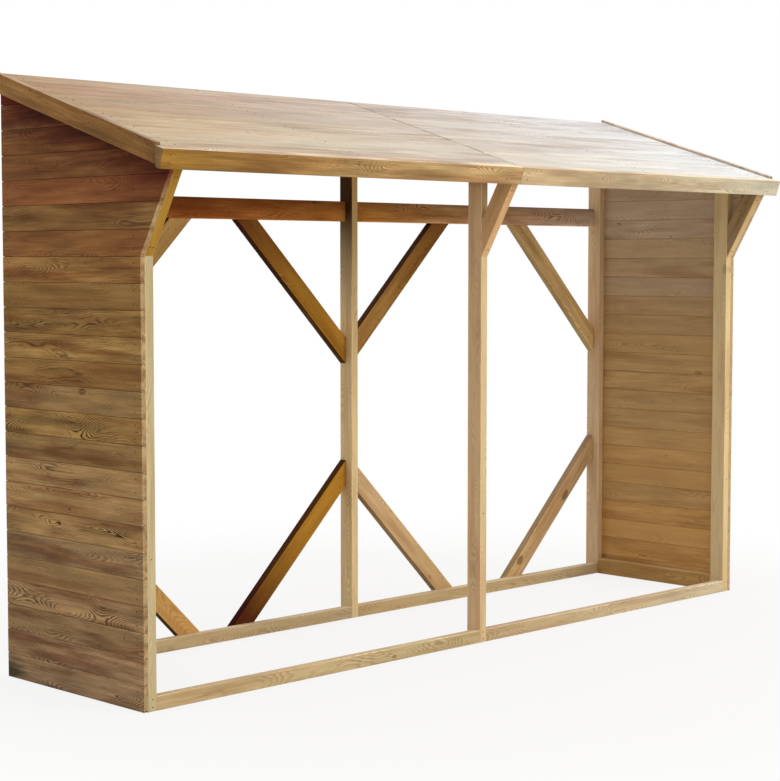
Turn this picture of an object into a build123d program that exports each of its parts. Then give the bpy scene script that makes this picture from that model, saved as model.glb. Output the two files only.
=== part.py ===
from build123d import *
import os
from math import atan2, cos, radians, sin, tan

# A two-bay log store of pressure-treated softwood: three pairs of posts, boarded ends, an open front,
# an open back with corner braces, and a single-pitch roof that slopes down to the front.
# Millimetres. X runs along the front, Y from front to back and Z up. The origin is on the ground,
# at the middle of the length and of the depth.

# Overall sizes
wall_span = 3300.0  # across the outer faces of the boarded ends
wall_depth = 790.0  # front face of the front posts to back face of the back posts
eaves_height = 1831.0  # top front edge of the roof
roof_pitch = 17.4  # degrees
front_overhang = 200.0  # the roof's top front edge stands this far before the front posts
side_overhang = 60.0  # the roof's ends stand this far outside the boarded ends

# Posts, boarded ends and ground rails
post_width = 35.0  # across the front
post_depth = 70.0
cladding_thickness = 18.0
ground_rail_height = 49.0
ground_rail_thickness = 35.0
side_rail_height = 70.0

# Open back: one top rail a bay, and a brace across each corner
top_rail_drop = 187.0  # the rails' underside lies this far below the eaves
top_rail_height = 82.0
brace_width = 76.0
# How far each brace reaches along its rail, as a share of the bay, and along its post, as a share of the
# height under the top rail. The two braces of the left end post reach further than the others.
top_brace_shares = (0.370, 0.356)
foot_brace_shares = (0.418, 0.401)
end_top_brace_shares = (0.488, 0.468)
end_foot_brace_shares = (0.535, 0.514)

# Knee braces under the front overhang
knee_drop = 278.0  # from the fascia's heel down to the brace's foot
knee_brace_width = 70.0

# Roof
deck_thickness = 18.0
rafter_height = 48.0
back_batten_width = 35.0
fascia_thickness = 22.0
barge_thickness = 22.0
barge_height = 67.0
barge_upstand = 10.0  # the barge boards stand this far above the deck

# Lines that several pieces share
pitch = radians(roof_pitch)
roof_front = -(wall_depth + front_overhang) / 2
post_front = roof_front + front_overhang
post_back = post_front + wall_depth
cladding_inner_x = wall_span / 2 - cladding_thickness
roof_end_x = wall_span / 2 + side_overhang
deck_end_x = roof_end_x - barge_thickness
end_post_x = cladding_inner_x - post_width / 2
post_places = {"left": -end_post_x, "centre": 0, "right": end_post_x}
rafter_width = post_width  # each rafter is as wide as the posts that carry it
roof_frame_depth = deck_thickness + rafter_height
roof_length = (wall_depth + front_overhang - roof_frame_depth * sin(pitch)) / cos(pitch)
batten_front = roof_length - back_batten_width
top_rail_underside = eaves_height - top_rail_drop
# The top rails and braces of the back fill the posts' depth behind the ground rails.
back_brace_thickness = post_depth - ground_rail_thickness
back_frame_front = post_back - back_brace_thickness


def along_x(outline, x_low, x_high):
    """A timber with the same y, z outline from x_low to x_high."""
    profile = make_face(Polyline(*[(x_low, y, z) for y, z in outline], close=True))
    return extrude(profile, amount=x_high - x_low, dir=Axis.X.direction)


def along_y(outline, y_low, y_high):
    """A timber with the same x, z outline from y_low to y_high."""
    profile = make_face(Polyline(*[(x, y_low, z) for x, z in outline], close=True))
    return extrude(profile, amount=y_high - y_low, dir=Axis.Y.direction)


def rectangle(low, high):
    """The corners of an upright rectangle between two opposite corners."""
    return [low, (high[0], low[1]), high, (low[0], high[1])]


def roof_point(along, below):
    """y and z of a point this far up the slope from the eaves and this far below the deck's top."""
    y = roof_front + along * cos(pitch) + below * sin(pitch)
    z = eaves_height + along * sin(pitch) - below * cos(pitch)
    return y, z


def roof_level(y, below):
    """Height at y of the sloping plane this far below the deck's top."""
    return eaves_height + (y - roof_front) * tan(pitch) - below / cos(pitch)


# The fascia's front is square to the slope and its back is plumb. The heel is the back's lower edge, where the
# knee braces and cladding end, and the deck, rafters and barge boards are cut plumb against the back.
fascia_heel = roof_point(fascia_thickness, roof_frame_depth)
fascia_back = fascia_heel[0]
deck_underside_front = (fascia_back, roof_level(fascia_back, deck_thickness))
deck_top_front = (fascia_back, roof_level(fascia_back, 0))
knee_foot_height = fascia_heel[1] - knee_drop
knee_lean = atan2(post_front - fascia_back, knee_drop)


def post(x_centre, y_front):
    """An upright whose top is cut to the slope of the rafters."""
    y_back = y_front + post_depth
    outline = [
        (y_front, 0),
        (y_back, 0),
        (y_back, roof_level(y_back, roof_frame_depth)),
        (y_front, roof_level(y_front, roof_frame_depth)),
    ]
    return along_x(outline, x_centre - post_width / 2, x_centre + post_width / 2)


def bay_rail(x_from, x_to, y_front, thickness, z_low, height):
    """A level rail that butts between two posts."""
    outline = rectangle((y_front, z_low), (y_front + thickness, z_low + height))
    return along_x(outline, x_from + post_width / 2, x_to - post_width / 2)


def corner_brace(x_corner, x_way, z_corner, z_way, bay_width, shares):
    """A brace across a corner of the back, with one end cut to the post and one cut level."""
    x_reach = shares[0] * bay_width
    z_reach = shares[1] * top_rail_underside
    slope = atan2(z_reach, x_reach)
    x_near = x_reach - brace_width / sin(slope)
    z_near = z_reach - brace_width / cos(slope)
    outline = [
        (x_corner + x_way * x_reach, z_corner),
        (x_corner + x_way * x_near, z_corner),
        (x_corner, z_corner + z_way * z_near),
        (x_corner, z_corner + z_way * z_reach),
    ]
    return along_y(outline, back_frame_front, post_back)


def knee_brace(x_centre):
    """A brace with a plumb cut on the post's front that leans out to the heel of the fascia."""
    seat_top = knee_foot_height + knee_brace_width / sin(knee_lean)
    rise = roof_level(post_front, roof_frame_depth) - seat_top
    length = rise / (cos(knee_lean) + sin(knee_lean) * tan(pitch))
    head_y = post_front - length * sin(knee_lean)
    outline = [
        (post_front, knee_foot_height),
        fascia_heel,
        (head_y, roof_level(head_y, roof_frame_depth)),
        (post_front, seat_top),
    ]
    return along_x(outline, x_centre - post_width / 2, x_centre + post_width / 2)


def end_cladding(x_low):
    """A boarded end, cut to the slope above and to the knee brace in front."""
    outline = [
        (post_front, 0),
        (post_back, 0),
        (post_back, roof_level(post_back, deck_thickness)),
        deck_underside_front,
        fascia_heel,
        (post_front, knee_foot_height),
    ]
    return along_x(outline, x_low, x_low + cladding_thickness)


def barge_board(x_low):
    """A board on the deck's end, cut plumb behind the fascia and at the back."""
    below = barge_height - barge_upstand
    outline = [
        (fascia_back, roof_level(fascia_back, below)),
        (post_back, roof_level(post_back, below)),
        (post_back, roof_level(post_back, -barge_upstand)),
        (fascia_back, roof_level(fascia_back, -barge_upstand)),
    ]
    return along_x(outline, x_low, x_low + barge_thickness)


def rafter(x_centre):
    """A rafter from the back of the fascia to the back batten."""
    outline = [
        fascia_heel,
        roof_point(batten_front, roof_frame_depth),
        roof_point(batten_front, deck_thickness),
        deck_underside_front,
    ]
    return along_x(outline, x_centre - rafter_width / 2, x_centre + rafter_width / 2)


parts = {}

# Posts, knee braces and rafters stand in line, one set at each end and one in the middle.
for place, x in post_places.items():
    parts[f"front_{place}_post"] = post(x, post_front)
    parts[f"back_{place}_post"] = post(x, post_back - post_depth)
    parts[f"{place}_knee_brace"] = knee_brace(x)
    parts[f"{place}_rafter"] = rafter(x)

# Each bay has its ground rails, its top rail, four corner braces and a rafter over its middle.
bays = {"left": ("left", "centre"), "right": ("centre", "right")}
for bay, (low_post, high_post) in bays.items():
    x_low = post_places[low_post]
    x_high = post_places[high_post]
    back_rail_front = post_back - post_depth
    parts[f"front_ground_rail_{bay}"] = bay_rail(
        x_low, x_high, post_front, ground_rail_thickness, 0, ground_rail_height
    )
    parts[f"back_ground_rail_{bay}"] = bay_rail(
        x_low, x_high, back_rail_front, ground_rail_thickness, 0, ground_rail_height
    )
    parts[f"back_top_rail_{bay}"] = bay_rail(
        x_low, x_high, back_frame_front, back_brace_thickness, top_rail_underside, top_rail_height
    )
    parts[f"{bay}_bay_rafter"] = rafter((x_low + x_high) / 2)
    bay_width = x_high - x_low - post_width
    ends = {"left": (x_low + post_width / 2, +1), "right": (x_high - post_width / 2, -1)}
    for side, (x_corner, x_way) in ends.items():
        at_left_end = (bay, side) == ("left", "left")
        top_shares = end_top_brace_shares if at_left_end else top_brace_shares
        foot_shares = end_foot_brace_shares if at_left_end else foot_brace_shares
        parts[f"{bay}_bay_top_{side}_brace"] = corner_brace(
            x_corner, x_way, top_rail_underside, -1, bay_width, top_shares
        )
        parts[f"{bay}_bay_foot_{side}_brace"] = corner_brace(x_corner, x_way, 0, +1, bay_width, foot_shares)

# Boarded ends, each with a ground rail between its two posts, and the barge boards over them
cladding_places = {"left": -wall_span / 2, "right": cladding_inner_x}
barge_places = {"left": -roof_end_x, "right": deck_end_x}
for side, x in cladding_places.items():
    rail_outline = rectangle((post_front + post_depth, 0), (post_back - post_depth, side_rail_height))
    rail_low = post_places[side] - post_width / 2
    parts[f"{side}_cladding"] = end_cladding(x)
    parts[f"{side}_ground_rail"] = along_x(rail_outline, rail_low, rail_low + post_width)
    parts[f"{side}_barge_board"] = barge_board(barge_places[side])

# The deck, the fascia and the back batten are each in two lengths that meet in the middle.
fascia_outline = [roof_point(0, roof_frame_depth), fascia_heel, deck_top_front, roof_point(0, 0)]
deck_outline = [
    deck_underside_front,
    roof_point(roof_length, deck_thickness),
    roof_point(roof_length, 0),
    deck_top_front,
]
batten_outline = [
    roof_point(batten_front, roof_frame_depth),
    roof_point(roof_length, roof_frame_depth),
    roof_point(roof_length, deck_thickness),
    roof_point(batten_front, deck_thickness),
]
for side, way in {"left": -1, "right": +1}.items():
    for name, outline, x_end in (
        ("fascia", fascia_outline, roof_end_x),
        ("roof_deck", deck_outline, deck_end_x),
        ("roof_back_batten", batten_outline, cladding_inner_x),
    ):
        x_low, x_high = sorted((0, way * x_end))
        parts[f"{name}_{side}"] = along_x(outline, x_low, x_high)

os.makedirs("parts", exist_ok=True)
for name, shape in parts.items():
    shape.label = name
    export_step(shape, f"parts/{name}.step")
print(f"{len(parts)} pieces")
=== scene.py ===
# %% [markdown]
# This lesson dresses a two-bay log store: a frame of treated softwood with boarded ends and a boarded roof.
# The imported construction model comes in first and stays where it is. Every piece below is made over one of
# its nodes, so the sizes are read from the nodes and not typed again.

# %% Load the construction
import math
import random

import bmesh
import bpy
import numpy as np
from mathutils import Matrix, Vector


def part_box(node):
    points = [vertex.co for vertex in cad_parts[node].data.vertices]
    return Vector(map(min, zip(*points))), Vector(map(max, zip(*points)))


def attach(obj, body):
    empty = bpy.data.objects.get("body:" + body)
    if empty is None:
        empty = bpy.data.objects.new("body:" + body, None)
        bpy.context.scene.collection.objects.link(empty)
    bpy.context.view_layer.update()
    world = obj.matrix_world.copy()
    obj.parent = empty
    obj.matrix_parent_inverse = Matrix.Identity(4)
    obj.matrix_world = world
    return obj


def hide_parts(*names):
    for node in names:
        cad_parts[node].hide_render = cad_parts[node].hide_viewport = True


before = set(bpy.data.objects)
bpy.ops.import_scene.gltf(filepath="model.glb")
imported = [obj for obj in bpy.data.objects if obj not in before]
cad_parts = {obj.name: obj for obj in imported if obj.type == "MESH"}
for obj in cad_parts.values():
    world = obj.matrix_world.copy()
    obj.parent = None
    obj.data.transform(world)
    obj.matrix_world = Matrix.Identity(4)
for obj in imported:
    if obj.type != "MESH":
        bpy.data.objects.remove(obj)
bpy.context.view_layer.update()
MM = 0.001

# %% [markdown]
# A few small helpers serve the whole lesson. Colours are written as sRGB hex codes and Blender computes in
# linear light, so one function converts them. Another adds a node to any tree, sets its properties and fills
# its inputs: by a link where it is given a node or a socket, else by a value. Inputs are listed in order, or
# go by name or number. A Map Range node takes a value, the range that it comes from and the range that it
# goes to. On a Mix node 0 is the share, 6 and 7 are the two colours and output 2 is their mixture.

# %% Helpers for colours and nodes
RANGE = "ShaderNodeMapRange"
NOISE = "ShaderNodeTexNoise"
MATH = "ShaderNodeMath"
VECTOR = "ShaderNodeVectorMath"
SPLIT_XYZ = "ShaderNodeSeparateXYZ"
JOIN_XYZ = "ShaderNodeCombineXYZ"
# Kinds with their settings
PLUS = (MATH, {"operation": "ADD"})
LESS = (MATH, {"operation": "SUBTRACT"})
TIMES = (MATH, {"operation": "MULTIPLY"})
TIMES_UP_TO_1 = (MATH, {"operation": "MULTIPLY", "use_clamp": True})
TIMES_PLUS = (MATH, {"operation": "MULTIPLY_ADD"})
OVER = (MATH, {"operation": "DIVIDE"})
LARGER = (MATH, {"operation": "MAXIMUM"})
VECTOR_PLUS = (VECTOR, {"operation": "ADD"})
VECTOR_LESS = (VECTOR, {"operation": "SUBTRACT"})
VECTOR_TIMES = (VECTOR, {"operation": "MULTIPLY"})
VECTOR_TIMES_PLUS = (VECTOR, {"operation": "MULTIPLY_ADD"})
VECTOR_SCALE = (VECTOR, {"operation": "SCALE"})
SMOOTH_RANGE = (RANGE, {"interpolation_type": "SMOOTHSTEP"})
BLEND = ("ShaderNodeMix", {"data_type": "RGBA"})
TINT = ("ShaderNodeMix", {"data_type": "RGBA", "blend_type": "MULTIPLY"})
WHITE = (1, 1, 1, 1)

def linear(hex_code):
    """The linear RGBA of an sRGB hex colour."""
    shares = [int(hex_code[i:i + 2], 16) / 255 for i in (1, 3, 5)]
    return tuple(s / 12.92 if s <= 0.04045 else ((s + 0.055) / 1.055) ** 2.4 for s in shares) + (1.0,)

def adder(tree):
    """The function that adds a node to this tree; inputs take sockets, nodes' first outputs or values."""
    def add(kind, inputs=(), **settings):
        if isinstance(kind, tuple):
            kind, settings = kind
        node = tree.nodes.new(kind)
        for name, value in settings.items():
            setattr(node, name, value)
        for name, value in inputs.items() if isinstance(inputs, dict) else enumerate(inputs):
            if isinstance(value, bpy.types.Node):
                value = value.outputs[0]
            if isinstance(value, bpy.types.NodeSocket):
                tree.links.new(value, node.inputs[name])
            else:
                node.inputs[name].default_value = value
        return node
    return add

def blank(kind, name):
    """A new material or world without nodes, and its add function."""
    made = kind.new(name)
    made.use_nodes = True
    made.node_tree.nodes.clear()
    return made, adder(made.node_tree)

def new_object(name, data):
    """A new object in the scene."""
    made = bpy.data.objects.new(name, data)
    bpy.context.scene.collection.objects.link(made)
    return made

print("mid tan is", [round(c, 3) for c in linear("#B08A58")])

# %% [markdown]
# The whole store is pressure-treated pine. A pine board is a slice of a trunk, so its figure is a slice of
# the growth rings: straight lines where the slice runs along them and arches where it cuts them at a slant.
# A flat stripe texture can't arch, so the rings here are true cylinders round a pith that wanders beside the
# board, and the board's face cuts them. Every piece carries a grain attribute for this, with the distance
# along, across and through the timber. First come the noises that make wood uneven, most drawn out along it.

# %% Patterns in pine
# Length along the grain and width across it in millimetres, then the noise's detail and roughness. Fibres
# are under half a millimetre wide, so streaks of 6 mm stand in for them, which is as fine as shows.
PINE_PATTERNS = {
    "streak": (200.0, 6.25, 3.0, 0.5),
    "wander": (416.667, 1666.67, 1.0, 0.5),
    "ripple": (109.89, 38.4615, 2.0, 0.5),
    "patch": (222.222, 55.5556, 2.0, 0.5),
    "blotch": (333.333, 33.3333, 4.0, 0.62),
    "heart": (490.196, 49.0196, 3.0, 0.5),
}

def pine_patterns(add, spot):
    """One noise for each pattern, under the pattern's name."""
    made = {}
    for name, (length, width, detail, roughness) in PINE_PATTERNS.items():
        per_metre = [1 / (size * MM) for size in (length, width, width)]
        place = add(VECTOR_TIMES, [spot, per_metre])
        made[name] = add(NOISE, {
            "Vector": place, "Scale": 1.0, "Detail": detail, "Roughness": roughness,
        })
    return made

print(len(PINE_PATTERNS), "patterns for pine")

# %% [markdown]
# The pith wanders by some centimetres over a metre of trunk, and the rings ripple by a few millimetres, so
# two of the noises move a spot before its distance from the pith is taken. Spring wood is pale, darkens to
# the summer wood and stops short at the next ring. A knot is the foot of a branch: dark, drawn out along the
# grain, with the rings swollen round it. A Voronoi pattern gives one knot at most in each cell of the face,
# and what it draws for a cell leaves most of them without one.

# %% Growth rings and knots
PITH_WANDER = 80 * MM
RING_RIPPLE = 3 * MM
RING_FRAY = 5 * MM
SUMMER_RISE = (0.35, 0.85, 0.0, 1.0)
SUMMER_STOP = (0.88, 1.0, 1.0, 0.0)
KNOT_RAGS = (30 * MM, 20 * MM, 0)
KNOT_WIDTH_SHARE = 0.55
KNOT_SIZE = (0.68, 1.0, 0.0, 0.075)
LEAST_KNOT_SIZE = 0.0005
KNOT_EDGE = (0.7, 1.25, 0.9, 0.0)
SWELL_FADE = -0.14
SWELL_SHARE = 1.6

def pith_distance(add, spot, patterns):
    """How far a spot lies from the wandering pith."""
    for pattern, reach in (("wander", PITH_WANDER), ("ripple", RING_RIPPLE)):
        sway = add(VECTOR_TIMES_PLUS, [
            patterns[pattern].outputs["Color"], (0, 2 * reach, 2 * reach), (0, -reach, -reach),
        ])
        spot = add(VECTOR_PLUS, [spot, sway])
    spoke = add(VECTOR_TIMES, [spot, (0, 1, 1)])
    return add(VECTOR, [spoke], operation="LENGTH").outputs["Value"]

def knots(add, spot, ripple, figure, cell):
    """How far away a knot is in its own radii, how far it covers the wood, and how it swells the rings."""
    ragged = add(VECTOR_TIMES_PLUS, [ripple.outputs["Color"], KNOT_RAGS, spot])
    face_spot = add(VECTOR_TIMES, [ragged, (KNOT_WIDTH_SHARE, 1, 0)])
    knot = add("ShaderNodeTexVoronoi", {
        "Vector": face_spot, "Scale": 1 / cell,
    }, voronoi_dimensions="2D")
    drawn = add("ShaderNodeSeparateColor", [knot.outputs["Color"]])
    size = add(RANGE, [drawn, *KNOT_SIZE])
    radius = add(PLUS, [size, LEAST_KNOT_SIZE])
    away = add(OVER, [knot.outputs["Distance"], radius])
    edge = add(SMOOTH_RANGE, [away, *KNOT_EDGE])
    cover = add(TIMES_UP_TO_1, [edge, figure])
    away_squared = add(TIMES, [away, away])
    fading = add(TIMES, [away_squared, SWELL_FADE])
    bulge = add(MATH, [fading], operation="EXPONENT")
    swell = add(TIMES, [bulge, size])
    return away, cover, swell

def summer_wood(add, distance, streak, ring_width):
    """How dark the ring is at this distance from the pith, with edges frayed by the fibres."""
    frayed = add(TIMES_PLUS, [streak, RING_FRAY, distance])
    turns = add(OVER, [frayed, ring_width])
    ring = add(MATH, [turns], operation="FRACT")
    rise = add(SMOOTH_RANGE, [ring, *SUMMER_RISE])
    stop = add(SMOOTH_RANGE, [ring, *SUMMER_STOP])
    return add(TIMES, [rise, stop])

print("pith wanders by", round(PITH_WANDER / MM), "mm and rings ripple by", round(RING_RIPPLE / MM), "mm")

# %% [markdown]
# Some stretches of a board are strongly figured and others nearly plain, while a sawn end always shows its
# rings. Streaks and long patches make the wood lighter and darker. The left end carries two more marks: a
# ruddy band under the barge board, partly the wood's own ruddier tone and partly painted shade of the roof's
# edge, and mould over about a hand's breadth where its back corner stands in the damp. Noise gives both of
# them ragged edges.

# %% Figure, light, stains and painted shade
BOLD_STRETCH = (0.42, 0.62, 0.12, 1.0)
BROKEN_RING = (0.32, 0.6, 0.4, 1.0)
END_FIGURE = 0.55
STAIN_RAGS = 200 * MM
# The ruddy band is partly the wood's own tone and partly painted shade under the roof's edge.
RUDDY_SHADE_BAND = (140 * MM, 340 * MM, 0.85, 0.0)
RUDDY_SHADE_PINE = "#AE4C37"
MOULD_PATCH = (120 * MM, 230 * MM, 0.8, 0.0)
MOULD = "#23251A"

def ring_strength(add, summer, patterns, figure, sawn):
    """How strongly the rings show, broken up by the streaks."""
    boldness = add(RANGE, [patterns["patch"], *BOLD_STRETCH])
    side_figure = add(TIMES, [boldness, figure])
    end_figure = add(TIMES, [sawn, END_FIGURE])
    strength = add(LARGER, [side_figure, end_figure])
    whole = add(TIMES, [summer, strength])
    broken = add(RANGE, [patterns["streak"], *BROKEN_RING])
    return add(TIMES, [whole, broken])

def fibre_light(add, patterns, liveliness, mottle):
    """How much lighter or darker than its tone the wood is, least where a piece is little figured."""
    streak_range = (0.25, 0.75, 1 - mottle, 1 + 0.7 * mottle)
    blotch_range = (0.28, 0.72, 1 - 1.4 * mottle, 1 + 1.1 * mottle)
    streak_light = add(RANGE, [patterns["streak"], *streak_range])
    blotch_light = add(RANGE, [patterns["blotch"], *blotch_range])
    full_light = add(TIMES, [streak_light, blotch_light])
    change = add(LESS, [full_light, 1.0])
    return add(TIMES_PLUS, [change, liveliness, 1.0])

def stained_and_shaded(add, colour, blotch, stains_and_shade):
    """The colour with the ruddy band below the roof, partly painted shade, and the mould round the damp
    corner.
    """
    place = add("ShaderNodeTexCoord").outputs["Object"]
    below = add(VECTOR_LESS, [stains_and_shade["eave"], place])
    depth = add(VECTOR, [below, stains_and_shade["roof_way"]], operation="DOT_PRODUCT")
    band_depth = add(TIMES_PLUS, [blotch, STAIN_RAGS, depth.outputs["Value"]])
    ruddy_shade_share = add(SMOOTH_RANGE, [band_depth, *RUDDY_SHADE_BAND])
    with_ruddy_shade = add(TINT, {0: ruddy_shade_share, 6: colour, 7: linear(RUDDY_SHADE_PINE)})
    from_corner = add(VECTOR, [place, stains_and_shade["damp_corner"]], operation="DISTANCE")
    mould_reach = add(TIMES_PLUS, [blotch, STAIN_RAGS, from_corner.outputs["Value"]])
    mouldy = add(SMOOTH_RANGE, [mould_reach, *MOULD_PATCH])
    return add(BLEND, {0: mouldy, 6: with_ruddy_shade.outputs[2], 7: linear(MOULD)}).outputs[2]

print("ruddy band fades out by", round(RUDDY_SHADE_BAND[1] / MM), "mm below the roof")

# %% [markdown]
# The finish puts these together. It starts from the tone that each piece carries and adds, in turn, the sawn
# ends, the heartwood, the rings, the streaks, the greenish copper salts of the treatment, the knots, the
# worn arrises, which also carry a painted highlight, and the stains with their band of painted shade. Summer
# wood is harder than spring wood and stands a little proud of it once rain has been at the surface, so the
# rings also give the relief.

# %% Treated pine
SAWN_SHARE = 0.75
LIVELY_GAIN = 1.2
COPPER_SALTS = "#8E8A5C"
SALT_PATCH = (0.54, 0.74, 0.0, 0.2)
KNOT_DEPTH = (0.3, 0.9, 0.0, 1.0)
KNOT_HEART = "#6A3C20"
KNOT_RIM = "#331A0E"
# The lighter arrises are partly wear and partly a painted highlight along the edges.
WEAR_HIGHLIGHT_STRETCH = (0.35, 0.65, 0.05, 0.6)
WEAR_HIGHLIGHT_GAIN = 0.75
FIBRE_RELIEF = 0.5
RELIEF_HEIGHT = 0.5 * MM
RELIEF_STRENGTH = 0.5
DULL_SPREAD = 0.08
PINE_IOR = 1.5

def treated_pine(name, ring_mm, knot_mm, summer_hex, heart_hex, heart_share, end_hex, mottle, dull, gloss,
                 stains_and_shade=None):
    """Planed treated softwood: dull, with dark summer rings, ruddy heart and knots, and greenish salts."""
    material, add = blank(bpy.data.materials, name)
    grain, timber, figure, cut, arris = [
        add("ShaderNodeAttribute", attribute_name=kind).outputs
        for kind in ("grain", "timber", "figure", "cut", "arris")
    ]
    spot = grain["Vector"]
    patterns = pine_patterns(add, spot)
    streak = patterns["streak"]
    knot_cell = knot_mm * MM
    knot_away, knot_cover, swell = knots(add, spot, patterns["ripple"], figure["Fac"], knot_cell)
    radius = pith_distance(add, spot, patterns)
    pushed = add(TIMES_PLUS, [swell, knot_cell * SWELL_SHARE, radius])
    summer = summer_wood(add, pushed, streak, ring_mm * MM)
    rings = ring_strength(add, summer, patterns, figure["Fac"], cut["Fac"])
    liveliness = add(TIMES_UP_TO_1, [figure["Fac"], LIVELY_GAIN])
    light = fibre_light(add, patterns, liveliness, mottle)

    # The colours
    end_share = add(TIMES, [cut["Fac"], SAWN_SHARE])
    wood = add(BLEND, {0: end_share, 6: timber["Color"], 7: linear(end_hex)})
    heart_range = (0.44, 0.66, 0.0, heart_share)
    heart_patch = add(SMOOTH_RANGE, [patterns["heart"], *heart_range])
    heart_there = add(TIMES, [heart_patch, liveliness])
    hearted = add(TINT, {0: heart_there, 6: wood.outputs[2], 7: linear(heart_hex)})
    ringed = add(TINT, {0: rings, 6: hearted.outputs[2], 7: linear(summer_hex)})
    streaked = add(VECTOR_SCALE, {0: ringed.outputs[2], "Scale": light})
    salts = add(SMOOTH_RANGE, [patterns["blotch"], *SALT_PATCH])
    salted = add(BLEND, {0: salts, 6: streaked, 7: linear(COPPER_SALTS)})
    knot_depth = add(SMOOTH_RANGE, [knot_away, *KNOT_DEPTH])
    knot_tone = add(BLEND, {0: knot_depth, 6: linear(KNOT_HEART), 7: linear(KNOT_RIM)})
    knotted = add(BLEND, {0: knot_cover, 6: salted.outputs[2], 7: knot_tone.outputs[2]})
    # Arrises are lightened: partly wear, partly a painted highlight along the edges.
    wear_highlight_stretch = add(RANGE, [patterns["patch"], *WEAR_HIGHLIGHT_STRETCH])
    wear_and_highlight = add(TIMES, [arris["Fac"], wear_highlight_stretch])
    wear_highlight_light = add(TIMES_PLUS, [wear_and_highlight, WEAR_HIGHLIGHT_GAIN, 1.0])
    colour = add(VECTOR_SCALE, {0: knotted.outputs[2], "Scale": wear_highlight_light})
    # The left end adds mould and the ruddy band, which is partly painted shade under the roof.
    if stains_and_shade:
        colour = stained_and_shaded(add, colour, patterns["blotch"], stains_and_shade)

    # The surface
    fibres = add(TIMES, [streak, FIBRE_RELIEF])
    height = add(PLUS, [rings, fibres])
    relief = add("ShaderNodeBump", {
        "Strength": RELIEF_STRENGTH, "Distance": RELIEF_HEIGHT, "Height": height,
    })
    dull_range = (0.2, 0.8, dull - DULL_SPREAD, dull + DULL_SPREAD)
    roughness = add(RANGE, [streak, *dull_range])
    shader = add("ShaderNodeBsdfPrincipled", {
        "Base Color": colour, "Roughness": roughness, "Normal": relief, "IOR": PINE_IOR,
        "Specular IOR Level": gloss,
    })
    add("ShaderNodeOutputMaterial", {"Surface": shader})
    return material

# Planed framing timber: rain has raised its grain, so it is matt, with fine rings and few knots.
frame_pine = treated_pine(
    "treated_pine_frame", ring_mm=4.0, knot_mm=230, summer_hex="#7C4A26", heart_hex="#C49468",
    heart_share=0.5, end_hex="#A8845A", mottle=0.2, dull=0.75, gloss=0.03)
# Planed wall boards, kept from the rain by the roof: dark red-brown rings, many knots and a faint sheen.
# Those of the left end carry the mould and the ruddy band of partly painted shade, whose places are read
# from the roof's top and the end's own box.
roof_top = max(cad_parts["roof_deck_left"].data.polygons, key=lambda face: face.normal.z)
left_low, left_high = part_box("left_cladding")
left_end_pine = treated_pine(
    "treated_pine_left_end", ring_mm=4.6, knot_mm=150, summer_hex="#4A240E", heart_hex="#A06038",
    heart_share=0.6, end_hex="#D6BA8A", mottle=0.3, dull=0.75, gloss=0.12,
    stains_and_shade={"eave": tuple(roof_top.center), "roof_way": tuple(roof_top.normal),
            "damp_corner": (left_low[0], left_high[1], left_low[2])})
right_end_pine = treated_pine(
    "treated_pine_right_end", ring_mm=5.0, knot_mm=150, summer_hex="#4A240E", heart_hex="#A87044",
    heart_share=0.55, end_hex="#D6BA8A", mottle=0.3, dull=0.75, gloss=0.12)
# Roof boards in full sun and rain: washed-out rings, blotches, and a shine at a low angle.
roof_pine = treated_pine(
    "bleached_pine_roof_boards", ring_mm=5.0, knot_mm=230, summer_hex="#9A7456", heart_hex="#C69A7A",
    heart_share=0.75, end_hex="#B89C78", mottle=0.42, dull=0.5, gloss=0.3)
# Finely planed trim at the roof's edges: a little smoother than the frame, and unevenly weathered.
trim_pine = treated_pine(
    "planed_pine_trim", ring_mm=4.0, knot_mm=240, summer_hex="#7E5026", heart_hex="#B88A58",
    heart_share=0.5, end_hex="#94754E", mottle=0.32, dull=0.66, gloss=0.2)
print("pine finish of the left end with", len(left_end_pine.node_tree.nodes), "nodes")

# %% [markdown]
# Each piece is made from a copy of its node, so it stays exactly where the construction has it. A node's
# mesh is loose triangles, so the copy is welded and its flat faces are joined. The grain runs along the
# longest edge. Every piece stores its values under the names that the finishes read, and rides on the one
# body.

# %% Welded copies and attributes
WELD = 0.05 * MM
FLAT_ANGLE = math.radians(1)
SIDE_TILT = 0.1
PLAIN_CHEEK = 0.97
SAWN_END = 0.6
RISING = Vector((1, 1, 2))

def welded_copy(node):
    """A clean solid with the shape of a node: welded, with each flat side as one face."""
    solid = bmesh.new()
    solid.from_mesh(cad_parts[node].data)
    bmesh.ops.remove_doubles(solid, verts=solid.verts, dist=WELD)
    bmesh.ops.dissolve_limit(solid, angle_limit=FLAT_ANGLE, verts=solid.verts, edges=solid.edges)
    return solid

def stick_axes(solid):
    """Unit vectors along the longest edge, across the widest side and through it."""
    edge = max(solid.edges, key=lambda e: e.calc_length())
    along = (edge.verts[1].co - edge.verts[0].co).normalized()
    if along.dot(RISING) < 0:
        along.negate()
    sides = [f for f in solid.faces if abs(f.normal.dot(along)) < SIDE_TILT]
    through = max(sides, key=lambda f: f.calc_area()).normal.copy()
    return along, through.cross(along).normalized(), through

def write_attribute(mesh, name, kind, domain, values):
    """Stores one value for each point, corner or face under a name that the finishes read."""
    field = {"FLOAT": "value", "FLOAT_VECTOR": "vector", "FLOAT_COLOR": "color"}[kind]
    attribute = mesh.attributes.get(name) or mesh.attributes.new(name, kind, domain)
    attribute.data.foreach_set(field, np.asarray(values, np.float32).ravel())

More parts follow.
